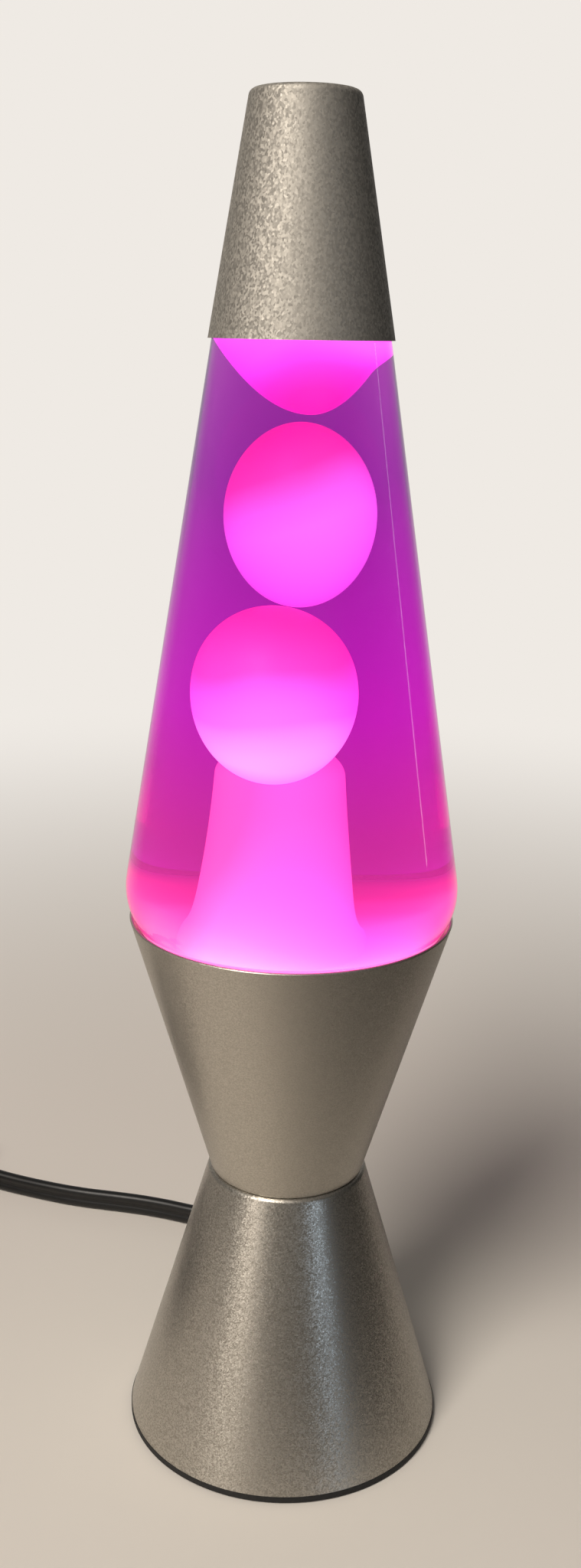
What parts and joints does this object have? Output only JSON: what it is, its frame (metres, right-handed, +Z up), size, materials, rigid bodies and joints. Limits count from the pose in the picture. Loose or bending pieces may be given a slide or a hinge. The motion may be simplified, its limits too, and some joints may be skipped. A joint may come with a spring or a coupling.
{
  "type": "lava lamp",
  "caption": "Hourglass silver base with a lift-out tapered glass globe of violet liquid and rising pink wax, a lift-off cap, a bulb in the cup and a flat black cord with switch and plug",
  "frame": {"origin": "middle of the base on the table", "axes": "+Z up along the lamp, +X to the right and +Y away from the pictured side"},
  "size_m": [0.2706, 0.1787, 0.3652],
  "materials": {
    "silver_paint": "silver metallic paint with a fine sparkle",
    "satin_silver": "satin silver with a fine grain",
    "hammered_silver": "silver paint with a hammered speckle",
    "black_rubber": "matt",
    "black_board": "matt",
    "steel": "plain",
    "rivet_aluminium": "plain",
    "porcelain": "plain",
    "socket_brass": "plain",
    "white_wire": "smooth",
    "bulb_glass": "clear",
    "bulb_base": "rolled thread",
    "black_insulator": "glassy",
    "filament": "glowing",
    "clear_glass": "polished",
    "crown_steel": "tinplate",
    "seal_rubber": "matt",
    "violet_liquid": "clear violet liquid",
    "pink_wax": "translucent wax lit from below",
    "black_plastic": "fine grain",
    "black_cord": "smooth vinyl",
    "blade_brass": "plain"
  },
  "bodies": {
    "base": {"base_cone": "silver_paint", "foot_ring": "black_rubber", "base_cover": "black_board", "cover_screws": "steel", "globe_cup": "satin_silver", "waist_rivets": "rivet_aluminium", "socket_body": "porcelain", "socket_shell": "socket_brass", "socket_contact": "socket_brass", "socket_terminals": "socket_brass", "socket_leads": "white_wire", "cord_bushing": "black_plastic", "cord_lamp_run": "black_cord", "cord_coil_run": "black_cord", "cord_coil": "black_cord", "cord_plug_run": "black_cord", "cord_tie": "black_plastic", "switch_base": "black_plastic", "switch_cover": "black_plastic", "switch_screws": "steel", "plug_body": "black_plastic", "plug_blades": "blade_brass"},
    "globe": {"glass_globe": "clear_glass", "crown_cap": "crown_steel", "crown_seal": "seal_rubber", "liquid": "violet_liquid", "heat_coil": "steel", "wax_column": "pink_wax", "wax_top": "pink_wax"},
    "lower_blob": {"wax_blob_lower": "pink_wax"},
    "upper_blob": {"wax_blob_upper": "pink_wax"},
    "cap": {"cap": "hammered_silver"},
    "bulb": {"bulb_glass": "bulb_glass", "bulb_base_shell": "bulb_base", "bulb_insulator": "black_insulator", "bulb_contact": "steel", "bulb_stem": "bulb_glass", "bulb_filament": "filament"},
    "rocker": {"switch_rocker": "black_plastic"}
  },
  "joints": [
    {"name": "globe_lift", "type": "slide", "parent": "base", "child": "globe", "axis": [0, 0, 1], "range_m": [0, 0.045]},
    {"name": "cap_lift", "type": "slide", "parent": "globe", "child": "cap", "axis": [0, 0, 1], "range_m": [0, 0.04]},
    {"name": "bulb_unscrew", "type": "slide", "parent": "base", "child": "bulb", "axis": [0, 0, 1], "range_m": [0, 0.018]},
    {"name": "rocker_tilt", "type": "hinge", "parent": "base", "child": "rocker", "pos_m": [-0.148, 0.121, 0.0143], "axis": [0, 1, 0], "range_deg": [0, 20]},
    {"name": "lower_blob_drift", "type": "slide", "parent": "globe", "child": "lower_blob", "axis": [0, 0, 1], "range_m": [-0.02, 0.02], "deforming": ["liquid", "wax_column", "wax_blob_lower", "wax_blob_upper"]},
    {"name": "upper_blob_drift", "type": "slide", "parent": "globe", "child": "upper_blob", "axis": [0, 0, 1], "range_m": [-0.02, 0.012], "deforming": ["liquid", "wax_top", "wax_blob_lower", "wax_blob_upper"]}
  ]
}
